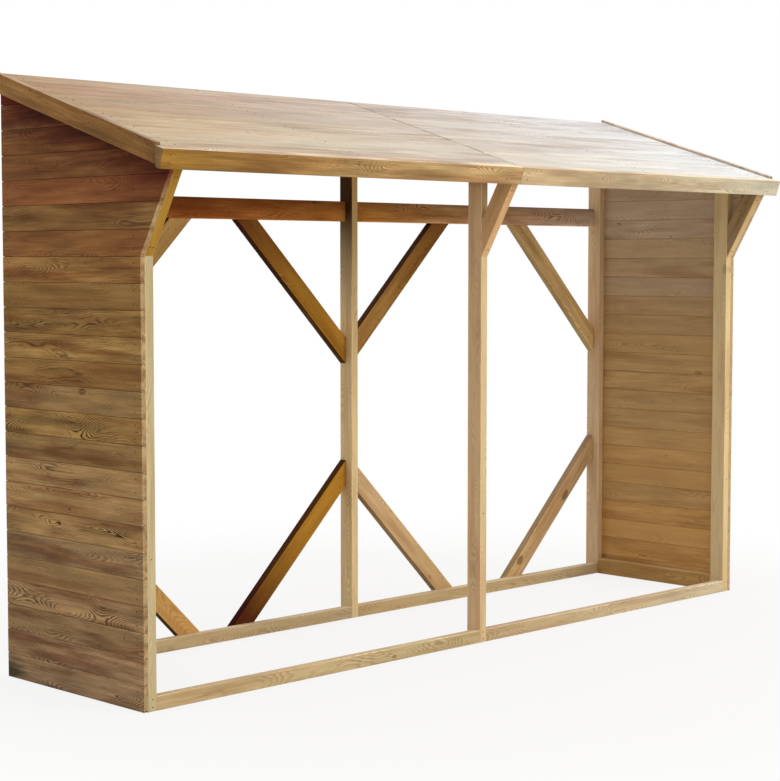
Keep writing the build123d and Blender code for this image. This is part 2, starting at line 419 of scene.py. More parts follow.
def mark_cuts_and_arrises(mesh, axes):
    """Tells sawn ends and rounded edges from the planed sides by the way each face looks."""
    facing = np.abs(np.array([[face.normal.dot(axis) for axis in axes] for face in mesh.polygons]))
    cuts = facing[:, 0] > SAWN_END
    arrises = (facing.max(axis=1) < PLAIN_CHEEK) & ~cuts
    write_attribute(mesh, "cut", "FLOAT", "FACE", cuts)
    write_attribute(mesh, "arris", "FLOAT", "FACE", arrises)

def place_piece(name, mesh, finish, slot=None, node=None):
    """Makes the finished piece, hides the node that it stands for and lets it ride on the one body."""
    mesh.materials.clear()
    mesh.materials.append(finish)
    piece = new_object(name, mesh)
    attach(piece, "root")
    if node:
        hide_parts(node)
    return piece

print("points within", WELD / MM, "mm are welded")

# %% [markdown]
# Planed timber has eased edges, because a sharp arris splinters, so every stick is rounded a little. Its
# tone may drift from one end to the other. Faces that look up get a painted highlight, some left faces have
# a tone of their own, most of them painted shade, and the top rails carry painted shade of the roof along
# their upper edges. Tones are stored at the corners of the faces and change evenly between them, so a stick
# is also cut across, without a change of shape, wherever its tone starts or stops to change.

# %% Rounded sticks
ARRIS = 2.5 * MM
LOOKS_UP = 0.8
LOOKS_LEFT = -0.3
# Faces that look up move towards this tone: a painted highlight of the light from above.
LIT_TOP_PINE = "#E0D6C4"
# Painted shade: the dark tone of left faces away from the light and of the top rails' upper halves.
PAINTED_SHADE_PINE = "#320E08"
END_TO_END = (0.0, 1.0)
ALL_ALONG = (-1.0, 0.0)
STICK_SLICES = ((0, 40), (-0.03, 0.03), (0.02, 0.06))
STICK_SHADES = (0.94, 1.06)
STICK_FIGURES = (0.7, 1.3)

def ramp(shares, start, stop):
    """0 up to one share of the length, 1 from another on, and an even change between them."""
    return np.clip((shares - start) / (stop - start), 0, 1)

def towards(colours, hex_code, share):
    """Colours moved by a share of the way towards one tone."""
    return colours + share * (np.array(linear(hex_code)) - colours)

def rounded_copy(node, cut_shares):
    """A node's shape with eased arrises, cut across at shares of its length, and its three axes."""
    solid = welded_copy(node)
    axes = stick_axes(solid)
    reach = [vertex.co.dot(axes[0]) for vertex in solid.verts]
    bmesh.ops.bevel(solid, geom=solid.edges[:], offset=ARRIS, segments=2, profile=0.5, affect="EDGES",
                    clamp_overlap=True)
    for share in cut_shares:
        if 0 < share < 1:
            cut_at = axes[0] * (min(reach) + share * (max(reach) - min(reach)))
            every_part = solid.verts[:] + solid.edges[:] + solid.faces[:]
            bmesh.ops.bisect_plane(solid, geom=every_part, plane_co=cut_at, plane_no=axes[0])
    mesh = bpy.data.meshes.new(node + "_stick")
    solid.to_mesh(mesh)
    solid.free()
    return mesh, axes

def make_stick(node, finish, slot, tones, figure, top_light, left_face, shaded_top):
    """One timber, with its own tones and its own slice of trunk."""
    draw = random.Random(node)
    start, stop = tones[2:] or END_TO_END
    left_hex, left_share = left_face[:2]
    left_start, left_stop = left_face[2:] or ALL_ALONG
    mesh, axes = rounded_copy(node, (start, stop, left_start, left_stop))
    points = np.array([v.co for v in mesh.vertices])
    middle = (points.min(axis=0) + points.max(axis=0)) / 2
    local = (points - middle) @ np.array(axes).T
    shift = np.array([draw.uniform(*span) for span in STICK_SLICES])
    share = ((local[:, 0] - local[:, 0].min()) / np.ptp(local[:, 0]))[:, None]
    shade = draw.uniform(*STICK_SHADES)
    low, high = [np.array(linear(tone)) for tone in tones[:2]]

    # The tones at the corners of the faces
    corner_points = np.array([corner.vertex_index for corner in mesh.loops])
    corner_faces = np.repeat(np.arange(len(mesh.polygons)), [len(face.vertices) for face in mesh.polygons])
    ways = np.array([face.normal for face in mesh.polygons])[corner_faces]
    leftward = (ways[:, 0] < LOOKS_LEFT)[:, None]
    upward = (ways[:, 2] > LOOKS_UP)[:, None]
    upper = (points[:, 2] > middle[2])[corner_points][:, None]
    left_there = left_share * ramp(share, left_start, left_stop)[corner_points]
    colours = shade * (low + ramp(share, start, stop) * (high - low))
    # Faces that look up get a painted highlight, some left faces a painted tone of their own, and the top
    # rails' upper halves painted shade.
    colours = towards(colours[corner_points], LIT_TOP_PINE, top_light * upward)
    colours = towards(colours, left_hex, left_there * leftward)
    colours = towards(colours, PAINTED_SHADE_PINE, shaded_top * upper)

    write_attribute(mesh, "grain", "FLOAT_VECTOR", "POINT", local + shift)
    write_attribute(mesh, "timber", "FLOAT_COLOR", "CORNER", colours)
    write_attribute(mesh, "figure", "FLOAT", "POINT", [figure * draw.uniform(*STICK_FIGURES)] * len(points))
    mark_cuts_and_arrises(mesh, axes)
    return place_piece(node + "_stick", mesh, finish, slot, node)

print("arrises of", ARRIS / MM, "mm")

# %% [markdown]
# What differs from stick to stick is kept in tables. A row belongs to every node that has the row's key in
# its name, and the last row that fits counts. The tones are those of the two ends, low or left or front
# first. Two more values are the shares of the length between which the first tone changes to the second.

# %% The sticks and their tones
stick_tones = {
    "back_top_rail_left": ("#D4824C", "#DC9446"),
    "back_top_rail_right": ("#E2A046", "#FFE6CE"),
    # This brace's pale tone is partly its own and partly painted light from stray light in the shaded
    # corner.
    "left_bay_top_left": ("#F4CE84", "#F4CE84"),
    "left_bay_foot_left": ("#DEB06C", "#D6A65C"),
    "left_bay_top_right": ("#BE8C36", "#8A5428", 0.5, 1.0),
    "left_bay_foot_right": ("#5E3018", "#C08C34", 0.15, 0.6),
    "right_bay_top_left": ("#BE9250", "#94602C", 0.5, 1.0),
    "right_bay_top_right": ("#E8C88C", "#E4C48C"),
    "right_bay_foot": ("#D2B280", "#D8B88C"),
    "left_knee_brace": ("#BC963F", "#AC8234"),
    "centre_knee_brace": ("#E6C092", "#DCB47E"),
    "right_knee_brace": ("#DCC090", "#D0B080"),
    "ground_rail": ("#C0985E", "#C0985E"),
    "front_ground_rail_left": ("#C9B083", "#CEBC90"),
    "front_ground_rail_right": ("#CEB58B", "#DCCCAB"),
    "back_ground_rail": ("#D2B98A", "#D2C099"),
    "rafter": ("#BC9A6C", "#BC9A6C"),
    "batten": ("#B49264", "#B49264"),
    "post": ("#DFC898", "#DFC898"),
    "front_left_post": ("#D4C497", "#D4C497"),
    # The centre posts darken towards their tops: painted shade under the roof.
    "front_centre_post": ("#DFC99B", "#7A4A38", 0.94, 1.0),
    "back_centre_post": ("#EED6A4", "#D2B070", 0.6, 0.9),
    "back_right_post": ("#DCC098", "#DCC098"),
    "fascia_left": ("#946C24", "#C2A678"),
    "fascia_right": ("#C5AD86", "#C6C2AC"),
    "left_barge_board": ("#875E2A", "#A2753C"),
    "right_barge_board": ("#D8C8B4", "#D8C8B4"),
}
# How strongly the rings show, how far faces that look up get a painted highlight, and how far the upper
# half is darkened with painted shade
stick_figures = {
    "": 0.4, "brace": 0.55, "top_rail": 1.1, "fascia": 0.6, "barge": 0.6, "left_barge": 1.1,
}
stick_top_light = {"": 0.25, "fascia": 0.5, "barge": 0.5, "left_barge": 0.3}
# The top rails' upper halves carry painted shade of the roof.
shaded_tops = {"": 0.0, "top_rail": 0.55}
# Left faces with a tone of their own, most of them a dark painted shade and one a paler painted light: the
# tone, its share, and the shares of the length between which it comes up. A tone without these is there
# all along.
left_faces = {
    "": (PAINTED_SHADE_PINE, 0.0),
    # Braces and the right knee: painted shade on the faces that look left, away from the light.
    "left_bay_top": (PAINTED_SHADE_PINE, 0.9),
    "left_bay_foot": (PAINTED_SHADE_PINE, 0.9),
    "right_bay_top_left": (PAINTED_SHADE_PINE, 0.9),
    "right_bay_top_right": (PAINTED_SHADE_PINE, 0.35),
    "right_bay_foot": (PAINTED_SHADE_PINE, 0.45),
    "right_knee": (PAINTED_SHADE_PINE, 0.4),
    # The back centre post's upper left face: painted shade under the roof.
    "back_centre_post": (PAINTED_SHADE_PINE, 0.95, 0.6, 0.82),
    # The front centre post's left face: paler and pinker, a painted light of light bounced onto it.
    "front_centre_post": ("#ECCB9F", 0.9, 0.99, 0.95),
}

def last_match(table, node):
    """The last row of a table whose key is a part of the node's name, or None."""
    rows = [row for key, row in table.items() if key in node]
    return rows[-1] if rows else None

sticks = []
for node in sorted(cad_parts):
    tones = last_match(stick_tones, node)
    if tones:
        is_trim = "fascia" in node or "barge" in node
        finish, slot = (trim_pine, "trim_boards") if is_trim else (frame_pine, "frame_timber")
        looks = [last_match(table, node) for table in (stick_figures, stick_top_light, left_faces, shaded_tops)]
        sticks.append(make_stick(node, finish, slot, tones, *looks))
print(len(sticks), "sticks")

# %% [markdown]
# The ends and the roof are covered with tongued and grooved boards that show 88 mm each and meet in a small
# V. The section of such a board is drawn once, as a closed curve: eased edges, a tongue along the top edge
# and a groove along the bottom edge that the next tongue enters with a little play. The joints then stay
# dark, because no light finds a straight way through them.

# %% The section of a board
BOARD_COVER = 88 * MM
BOARD_THICKNESS = 18 * MM
BOARD_GAP = 1.4 * MM
BOARD_ARRIS = 1.6 * MM
TONGUE_THICKNESS = 6.0 * MM
TONGUE_LENGTH = 7.0 * MM
TONGUE_PLAY = 1.2 * MM

def board_section():
    """The closed outline of a board, x up the panel and y through it."""
    top = (BOARD_COVER - BOARD_GAP) / 2
    face = BOARD_THICKNESS / 2
    tongue = TONGUE_THICKNESS / 2
    groove = tongue + TONGUE_PLAY
    floor_of_groove = TONGUE_LENGTH - BOARD_GAP + TONGUE_PLAY - top
    half = [
        (floor_of_groove, groove), (-top, groove), (-top, face - BOARD_ARRIS), (BOARD_ARRIS - top, face),
        (top - BOARD_ARRIS, face), (top, face - BOARD_ARRIS), (top, tongue), (top + TONGUE_LENGTH, tongue),
    ]
    outline = [(x, -y) for x, y in half] + half[::-1]
    curve = bpy.data.curves.new("board_section", "CURVE")
    line = curve.splines.new("POLY")
    line.points.add(len(outline) - 1)
    line.points.foreach_set("co", [c for x, y in outline for c in (x, y, 0, 1)])
    line.use_cyclic_u = True
    return new_object("board_section", curve)

section = board_section()
print("board section with", len(section.data.splines[0].points), "corners")

# %% [markdown]
# All the boards follow one rule: lay boards side by side over a flat panel and saw them off at its outline.
# Geometry Nodes can say that once, and the same tree then serves both ends and both halves of the roof. Its
# first half lays the panel flat, sweeps the section along it and sets a row of such boards over the panel.
# Then it saws them. The saw is the panel made three times as thick, so that it cuts the outline and leaves
# the boards' faces, and shorter by the play that the boards have at each end.

# %% A row of boards, sawn off
HALF_BOARD_SHARE = 0.51
SAW_THICKNESS_SHARE = 3.0

def flat_panel(add, given):
    """The panel laid flat with X along its boards, and the measures that the next steps need."""
    turn = add("FunctionNodeEulerToRotation", [given["Lay Flat"]])
    flat = add("GeometryNodeTransform", {"Geometry": given["Panel"], "Rotation": turn})
    box = add("GeometryNodeBoundBox", [flat])
    size = add(VECTOR_LESS, [box.outputs["Max"], box.outputs["Min"]])
    middle = add(VECTOR_TIMES_PLUS, [size, (0.5, 0.5, 0.5), box.outputs["Min"]])
    lengths, lows, middles = [
        add(SPLIT_XYZ, [value]).outputs for value in (size, box.outputs["Min"], middle)
    ]
    return {
        "turn": turn, "solid": flat, "middle": middle, "lengths": lengths, "lows": lows, "middles": middles,
    }

def row_of_boards(add, given, panel):
    """Boards side by side, each a little longer than the panel and a hair above or below its neighbours."""
    # Swept towards -X, the section's x points up the panel.
    reach = add(TIMES, [panel["lengths"][0], HALF_BOARD_SHARE])
    back_reach = add(TIMES, [reach, -1.0])
    line_from = add(JOIN_XYZ, [reach])
    line_to = add(JOIN_XYZ, [back_reach])
    line = add("GeometryNodeCurvePrimitiveLine", {"Start": line_from, "End": line_to})
    outline = add("GeometryNodeObjectInfo", [given["Section"]]).outputs["Geometry"]
    board = add("GeometryNodeCurveToMesh", {
        "Curve": line, "Profile Curve": outline, "Fill Caps": True,
    })

    courses = add(OVER, [panel["lengths"][1], given["Cover"]])
    count = add(MATH, [courses], operation="CEIL")
    first = add(TIMES_PLUS, [given["Cover"], 0.5, panel["lows"][1]])
    start = add(JOIN_XYZ, [panel["middles"][0], first, panel["middles"][2]])
    step = add(JOIN_XYZ, {1: given["Cover"]})
    row = add("GeometryNodeMeshLine", {"Count": count, "Start Location": start, "Offset": step})
    down = add(TIMES, [given["Unevenness"], -1.0])
    lift = add("FunctionNodeRandomValue", {
        2: down, 3: given["Unevenness"], "Seed": given["Seed"],
    }, data_type="FLOAT")
    lifted = add(JOIN_XYZ, {2: lift.outputs[1]})
    places = add("GeometryNodeSetPosition", {"Geometry": row, "Offset": lifted})
    boards = add("GeometryNodeInstanceOnPoints", {"Points": places, "Instance": board})
    return add("GeometryNodeRealizeInstances", [boards]), first, count

def sawn_off(add, given, panel, boards):
    """What of the boards lies inside the panel's outline."""
    play = add(OVER, [given["End Play"], panel["lengths"][0]])
    shorter = add(TIMES_PLUS, [play, -2.0, 1.0])
    scale = add(JOIN_XYZ, [shorter, 1.0, SAW_THICKNESS_SHARE])
    scaled_middle = add(VECTOR_TIMES, [panel["middle"], scale])
    shift = add(VECTOR_LESS, [panel["middle"], scaled_middle])
    saw = add("GeometryNodeTransform", {
        "Geometry": panel["solid"], "Translation": shift, "Scale": scale,
    })
    sawn = add("GeometryNodeMeshBoolean", operation="INTERSECT", solver="EXACT")
    for solid in (saw, boards):
        sawn.id_data.links.new(solid.outputs[0], sawn.inputs["Mesh 2"])
    return sawn

print("the saw is", round(SAW_THICKNESS_SHARE * BOARD_THICKNESS / MM), "mm thick")

# %% [markdown]
# The second half of the tree gives each board a slice of trunk and a tone of its own. Tones run from the
# lowest board to the highest, moved up or down by some chance. A board may also carry a painted sheen that
# grows from one end to the other, but only on the side that is uppermost when the panel lies flat, the side
# that faces the sky.

# %% The board tree
SLICE_LOW = (-20, -0.035, 0.012)
SLICE_HIGH = (20, 0.035, 0.05)
TONE_SEED_STEP = 7.0
BOARD_FIGURES = (0.0, 1.0, 0.35, 1.1)
BOARD_INPUTS = {
    "Panel": "Geometry", "Section": "Object", "Lay Flat": "Vector", "Cover": "Float", "Unevenness": "Float",
    "Low Tone": "Color", "Middle Tone": "Color", "High Tone": "Color", "Tone Chance": "Float",
    "Shade Chance": "Float", "Bleach": "Color", "Start Bleach": "Float", "End Bleach": "Float",
    "Figure": "Float", "End Play": "Float", "Seed": "Int", "Finish": "Material",
}

def new_tree(name, inputs, output):
    """An empty Geometry Nodes tree with named inputs and one output, and the sockets of its inputs."""
    tree = bpy.data.node_groups.new(name, "GeometryNodeTree")
    for label, kind in inputs.items():
        tree.interface.new_socket(name=label, in_out="INPUT", socket_type="NodeSocket" + kind)
    tree.interface.new_socket(name=output, in_out="OUTPUT", socket_type="NodeSocketGeometry")
    add = adder(tree)
    return tree, add, add("NodeGroupInput").outputs

def board_grain(add, given, panel, first, spot, course):
    """Where a point lies in its board's own slice of trunk."""
    centre = add(TIMES_PLUS, [course, given["Cover"], first])
    board_middle = add(JOIN_XYZ, [panel["middles"][0], centre, panel["middles"][2]])
    inside = add(VECTOR_LESS, [spot, board_middle])
    slice_at = add("FunctionNodeRandomValue", {
        0: SLICE_LOW, 1: SLICE_HIGH, "ID": course, "Seed": given["Seed"],
    }, data_type="FLOAT_VECTOR")
    return add(VECTOR_PLUS, [inside, slice_at]).outputs[0]

def board_tone(add, given, panel, spots, level, tone_draw, shade_draw):
    """The tone by the board's height in the panel, moved by chance, then shaded by chance and given a
    painted sheen.
    """
    tone_at = add(TIMES_PLUS, [tone_draw, given["Tone Chance"], level])
    to_middle = add(RANGE, [tone_at, 0.0, 0.5, 0.0, 1.0])
    to_high = add(RANGE, [tone_at, 0.5, 1.0, 0.0, 1.0])
    lower = add(BLEND, {0: to_middle, 6: given["Low Tone"], 7: given["Middle Tone"]})
    toned = add(BLEND, {0: to_high, 6: lower.outputs[2], 7: given["High Tone"]})
    shade = add(TIMES_PLUS, [shade_draw, given["Shade Chance"], 1.0])
    shaded = add(VECTOR_SCALE, {0: toned.outputs[2], "Scale": shade})
    # A painted sheen of the sky, growing from one end of the board to the other on its upper side.
    along = add(LESS, [spots[0], panel["lows"][0]])
    along_share = add(OVER, [along, panel["lengths"][0]])
    painted_sheen_there = add(RANGE, [along_share, 0.0, 1.0, given["Start Bleach"], given["End Bleach"]])
    on_top = add(MATH, [spots[2], panel["middles"][2]], operation="GREATER_THAN")
    painted_sheen = add(TIMES, [painted_sheen_there, on_top])
    return add(BLEND, {0: painted_sheen, 6: shaded, 7: given["Bleach"]}).outputs[2]

def board_tree():
    """Boards over a panel, cut to its outline, each with its own grain, tone and figure."""
    tree, add, given = new_tree("Boards over a panel", BOARD_INPUTS, "Boards")
    panel = flat_panel(add, given)
    boards, first, count = row_of_boards(add, given, panel)
    stored = sawn_off(add, given, panel, boards)

    # Which board a point belongs to, and what was drawn for that board
    spot = add("GeometryNodeInputPosition")
    spots = add(SPLIT_XYZ, [spot]).outputs
    up = add(LESS, [spots[1], panel["lows"][1]])
    up_courses = add(OVER, [up, given["Cover"]])
    course = add(MATH, [up_courses], operation="FLOOR")
    level = add(OVER, [course, count])
    tone_seed = add(PLUS, [given["Seed"], TONE_SEED_STEP])
    draws = add("FunctionNodeRandomValue", {
        0: (-1, 0, -1), 1: (1, 1, 1), "ID": course, "Seed": tone_seed,
    }, data_type="FLOAT_VECTOR")
    tone_draw, figure_draw, shade_draw = add(SPLIT_XYZ, [draws]).outputs
    drawn_figure = add(RANGE, [figure_draw, *BOARD_FIGURES])
    figure = add(TIMES, [drawn_figure, given["Figure"]]).outputs[0]
    grain = board_grain(add, given, panel, first, spot, course)
    timber = board_tone(add, given, panel, spots, level, tone_draw, shade_draw)

    for name, kind, value in (
        ("grain", "FLOAT_VECTOR", grain), ("timber", "FLOAT_COLOR", timber), ("figure", "FLOAT", figure),
    ):
        stored = add("GeometryNodeStoreNamedAttribute", {
            "Geometry": stored, "Name": name, "Value": value,
        }, data_type=kind, domain="POINT")
    turn_back = add("FunctionNodeInvertRotation", [panel["turn"]])
    raised = add("GeometryNodeTransform", {"Geometry": stored, "Rotation": turn_back})
    real = add("GeometryNodeRealizeInstances", [raised])
    finished = add("GeometryNodeSetMaterial", {"Geometry": real, "Material": given["Finish"]})
    add("NodeGroupOutput", {"Boards": finished})
    return tree

panel_boards = board_tree()
print("board tree with", len(panel_boards.nodes), "nodes")

# %% [markdown]
# A modifier's inputs are set by the identifier of each socket. The result is made a plain mesh, so that no
# live tree is kept. The boards of the left end are golden below and a ruddy brown under the roof, partly the
# boards' own tone and partly painted shade, and those of the right end are sandy, turning paler and greyer
# towards the top, partly with painted light.

# %% Boarded ends
UNEVENNESS = 0.5 * MM
END_SEEDS = {"left": 11, "right": 12}

def plain_mesh(name, start_mesh, tree, values):
    """What a Geometry Nodes tree makes of a mesh, as a mesh of its own."""
    carrier = new_object(name + "_carrier", start_mesh)
    modifier = carrier.modifiers.new(name, "NODES")
    modifier.node_group = tree
    for item in tree.interface.items_tree:
        if item.in_out == "INPUT" and item.name in values:
            modifier[item.identifier] = values[item.name]
    bpy.context.view_layer.update()
    graph = bpy.context.evaluated_depsgraph_get()
    mesh = bpy.data.meshes.new_from_object(carrier.evaluated_get(graph), preserve_all_data_layers=True,
                                           depsgraph=graph)
    mesh.name = name
    mesh.shade_flat()
    bpy.data.objects.remove(carrier)
    return mesh

def board_panel(node, turn, seed, slot, looks):
    """Covers a panel with boards; turn is the matrix that lays it flat with its boards along X."""
    solid = welded_copy(node)
    panel_mesh = bpy.data.meshes.new(node)
    solid.to_mesh(panel_mesh)
    solid.free()
    boards = plain_mesh(node + "_boards", panel_mesh, panel_boards, {
        "Section": section, "Lay Flat": tuple(turn.to_euler()), "Cover": BOARD_COVER,
        "Unevenness": UNEVENNESS, "Seed": seed, **looks,
    })
    mark_cuts_and_arrises(boards, [Vector(row) for row in turn])
    return place_piece(node + "_boards", boards, looks["Finish"], slot, node)

# Boards of an end run along Y and are stacked along Z, so Y becomes X, Z becomes Y and X becomes Z.
end_turn = Matrix(((0, 1, 0), (0, 0, 1), (1, 0, 0)))
end_looks = {
    "left": {
        # Towards the top the left end darkens to a ruddy brown: partly the boards' tone, partly painted
        # shade.
        "Low Tone": linear("#AA8A64"), "Middle Tone": linear("#A8844A"), "High Tone": linear("#7E361E"),
        "Tone Chance": 0.14, "Shade Chance": 0.16, "Figure": 1.2, "Finish": left_end_pine,
    },
    "right": {
        # Towards the top the right end turns paler and greyer: partly the boards' tone, partly painted haze
        # of light.
        "Low Tone": linear("#D0A262"), "Middle Tone": linear("#BF9F6D"), "High Tone": linear("#DACABA"),
        "Tone Chance": 0.1, "Shade Chance": 0.05, "Figure": 0.45, "Finish": right_end_pine,
    },
}
for side, looks in end_looks.items():
    boards = board_panel(f"{side}_cladding", end_turn, END_SEEDS[side], "wall_boards", looks)
    print(boards.name, len(boards.data.polygons), "faces")

# %% [markdown]
# The roof boards run the length of a bay and climb the slope. The slope is read from the deck's own top, so
# the turn that lays it flat is the roof's pitch backwards. Their upper faces carry a painted sheen of the
# sky, paler and bluish, most at the right.

# %% Boarded roof
ROOF_SEEDS = {"left": 23, "right": 24}
pitch = math.acos(roof_top.normal.z)
roof_turn = Matrix.Rotation(-pitch, 3, "X")
roof_looks = {
    "Low Tone": linear("#C0AC86"), "Middle Tone": linear("#AE9060"), "High Tone": linear("#A67C50"),
    "Tone Chance": 0.2, "Shade Chance": 0.08, "Figure": 0.5, "End Play": 3.0 * MM,
    # A bluish white for the painted sheen of the sky.
    "Bleach": linear("#DEE4E6"), "Finish": roof_pine,
}
# The roof's painted sheen of the sky grows from left to right over both halves.
roof_painted_sheen = {
    "left": {"Start Bleach": 0.0, "End Bleach": 0.42},
    "right": {"Start Bleach": 0.42, "End Bleach": 0.92},
}
for side, painted_sheen in roof_painted_sheen.items():
    looks = {**roof_looks, **painted_sheen}
    boards = board_panel(f"roof_deck_{side}", roof_turn, ROOF_SEEDS[side], "roof_boards", looks)
    print(boards.name, len(boards.data.polygons), "faces, pitch", round(math.degrees(pitch), 2))
bpy.data.objects.remove(section)

# %% [markdown]
# Nails hold the boards to the posts and rafters, two in each board, and hold the braces and the trim. They
# all look alike, so Geometry Nodes sets one flat head on each point of a cloud. Each point carries the way
# that its head looks. The points come from the frame: a nail on a stick is placed by shares of the length
# and the width of one of its sides.

# %% Where the nails go
FRONT = Vector((0, -1, 0))
LEFT = Vector((-1, 0, 0))
RIGHT = Vector((1, 0, 0))
KNEE_FRONT = Vector((0, -0.87, -0.5))
BOARD_NAIL_SHARES = (0.24, 0.76)
BARGE_NAIL_SHARES = ((0.04, 0.34, 0.66, 0.96), (0.3, 0.7))
BRACE_NAIL_SHARES = ((0.06, 0.94), (0.32, 0.68))
POST_NAIL_SHARES = ((0.008, 0.022, 0.277), (0.5,))
stick_nails = {
    "fascia": (FRONT, (0.02, 0.5, 0.95), (0.3, 0.7)),
    "left_barge": (LEFT, *BARGE_NAIL_SHARES),
    "right_barge": (RIGHT, *BARGE_NAIL_SHARES),
    "brace": (FRONT, *BRACE_NAIL_SHARES),
    "knee": (KNEE_FRONT, (0.1, 0.9), (0.35, 0.65)),
    "post": (FRONT, *POST_NAIL_SHARES),
    "back_": None,
}
nail_points = []
nail_ways = []

def nail(point, way):
    """Notes one nail: where its head sits and which way it looks."""
    nail_points.append(Vector(point))
    nail_ways.append(Vector(way).normalized())

def nail_side(node, way, along_shares, across_shares):
    """Nails at shares of the length and width of the side that looks most nearly this way."""
    solid = welded_copy(node)
    face = max(solid.faces, key=lambda f: f.normal.dot(way))
    corners = [v.co.copy() for v in face.verts]
    lengths = [(corners[(i + 1) % 4] - corners[i]).length for i in range(4)]
    first = lengths.index(max(lengths))
    a, b, c, d = [corners[(first + i) % 4] for i in range(4)]
    for u in along_shares:
        for v in across_shares:
            nail(a.lerp(b, u).lerp(d.lerp(c, u), v), face.normal)
    solid.free()

for node in sorted(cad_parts):
    nailed_side = last_match(stick_nails, node)
    if nailed_side:
        nail_side(node, *nailed_side)

for side, way in (("left", LEFT), ("right", RIGHT)):
    low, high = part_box(f"{side}_cladding")
    face_x = low[0] if side == "left" else high[0]
    for post in (f"front_{side}_post", f"back_{side}_post"):
        post_low, post_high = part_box(post)
        y = (post_low[1] + post_high[1]) / 2
        top = high[2] - (high[1] - y) * math.tan(pitch)
        for course in range(int((top - low[2]) / BOARD_COVER)):
            for share in BOARD_NAIL_SHARES:
                nail((face_x, y, low[2] + (course + share) * BOARD_COVER), way)

deck = welded_copy("roof_deck_left")
deck_top = max(deck.faces, key=lambda f: f.normal.z)
deck_corners = sorted((v.co.copy() for v in deck_top.verts), key=lambda corner: corner.y)
deck.free()
eave, ridge = deck_corners[0], deck_corners[-1]
slope_length = math.hypot(ridge.y - eave.y, ridge.z - eave.z)
up_slope = Vector((0, math.cos(pitch), math.sin(pitch)))
roof_way = Vector((0, -math.sin(pitch), math.cos(pitch)))
for rafter in (node for node in sorted(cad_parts) if "rafter" in node):
    low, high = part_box(rafter)
    for course in range(int(slope_length / BOARD_COVER)):
        for share in BOARD_NAIL_SHARES:
            place = eave + up_slope * ((course + share) * BOARD_COVER)
            nail(((low[0] + high[0]) / 2, place.y, place.z), roof_way)
print(len(nail_points), "nails")

# %% [markdown]
# Galvanised nails are grey at first, and the copper salts of treated wood soon turn them dull and brown.
# Galvanised steel is a metal with a dull, slightly mottled coat, so its roughness is high.

# %% Nail heads
NAIL_HEAD = 5.0 * MM
NAIL_HEAD_HEIGHT = 1.6 * MM
NAIL_HEAD_SIDES = 10
NAIL_RIM_SHARE = 0.42
WEATHERED_ZINC = "#6C645A"
RUST_BROWN = "#442E20"
RUST_WIDTH = 8 * MM
RUSTY = (0.35, 0.6, 0.1, 0.9)
ZINC_ROUGHNESS = (0.3, 0.7, 0.45, 0.7)

def galvanised_steel():
    """Dull zinc grey with brown patches a few millimetres wide, so most heads are one or the other."""
    material, add = blank(bpy.data.materials, "galvanised_nail_steel")
    place = add("ShaderNodeTexCoord").outputs["Object"]
    rust = add(NOISE, {"Vector": place, "Scale": 1 / RUST_WIDTH, "Detail": 2.0})
    rusty = add(SMOOTH_RANGE, [rust, *RUSTY])
    tone = add(BLEND, {0: rusty, 6: linear(WEATHERED_ZINC), 7: linear(RUST_BROWN)})
    roughness = add(RANGE, [rust, *ZINC_ROUGHNESS])
    shader = add("ShaderNodeBsdfPrincipled", {
        "Base Color": tone.outputs[2], "Metallic": 0.9, "Roughness": roughness,
    })
    add("ShaderNodeOutputMaterial", {"Surface": shader})
    return material

def nail_tree():
    """A flat round head on every point, turned to look the point's way."""
    nail_inputs = {"Points": "Geometry", "Width": "Float", "Height": "Float", "Finish": "Material"}
    tree, add, given = new_tree("Nail heads", nail_inputs, "Heads")
    base = add(TIMES, [given["Width"], 0.5])
    rim = add(TIMES, [given["Width"], NAIL_RIM_SHARE])
    half_down = add(TIMES, [given["Height"], -0.5])
    head = add("GeometryNodeMeshCone", {
        "Vertices": NAIL_HEAD_SIDES, "Radius Top": rim, "Radius Bottom": base, "Depth": given["Height"],
    })
    sunk_by = add(JOIN_XYZ, {2: half_down})
    sunk = add("GeometryNodeTransform", {"Geometry": head, "Translation": sunk_by})
    way = add("GeometryNodeInputNamedAttribute", {"Name": "way"}, data_type="FLOAT_VECTOR")
    turn = add("FunctionNodeAlignRotationToVector", {"Vector": way}, axis="Z")
    heads = add("GeometryNodeInstanceOnPoints", {
        "Points": given["Points"], "Instance": sunk, "Rotation": turn,
    })
    real = add("GeometryNodeRealizeInstances", [heads])
    finished = add("GeometryNodeSetMaterial", {"Geometry": real, "Material": given["Finish"]})
    add("NodeGroupOutput", {"Heads": finished})
    return tree

cloud = bpy.data.meshes.new("nail_points")
cloud.from_pydata(nail_points, [], [])
write_attribute(cloud, "way", "FLOAT_VECTOR", "POINT", nail_ways)
nail_steel = galvanised_steel()
nail_values = {"Width": NAIL_HEAD, "Height": NAIL_HEAD_HEIGHT, "Finish": nail_steel}
nails = place_piece("nail_heads", plain_mesh("nail_heads", cloud, nail_tree(), nail_values), nail_steel)
print(len(nails.data.polygons), "faces of nail heads")

# %% [markdown]
# The studio has one large soft light before the store and to its right, and a sky that is brightest
# overhead, which darkens the wood under the roof's edges. A lamp of P watts at d metres gives P / (pi d d)
# of light on a face that looks at it, and a face shows its colour as written under pi, so the lamp's power
# is worked out from the share of that level it should give. The camera and mirrored rays see plain white in
# place of the sky, so its levels can be set for the wood alone.

# %% Light and background
KEY_PLACE = Vector((2.6, -6.5, 5.0))
KEY_TARGET = Vector((0, 0, 1.0))
KEY_WIDTH = 4.0
KEY_SHARE = 0.4
KEY_TINT = "#FFF4E0"
SKY_TINT = "#FDFBFF"
HORIZON_TO_ZENITH = (0.0, 1.0, 0.25, 1.6)

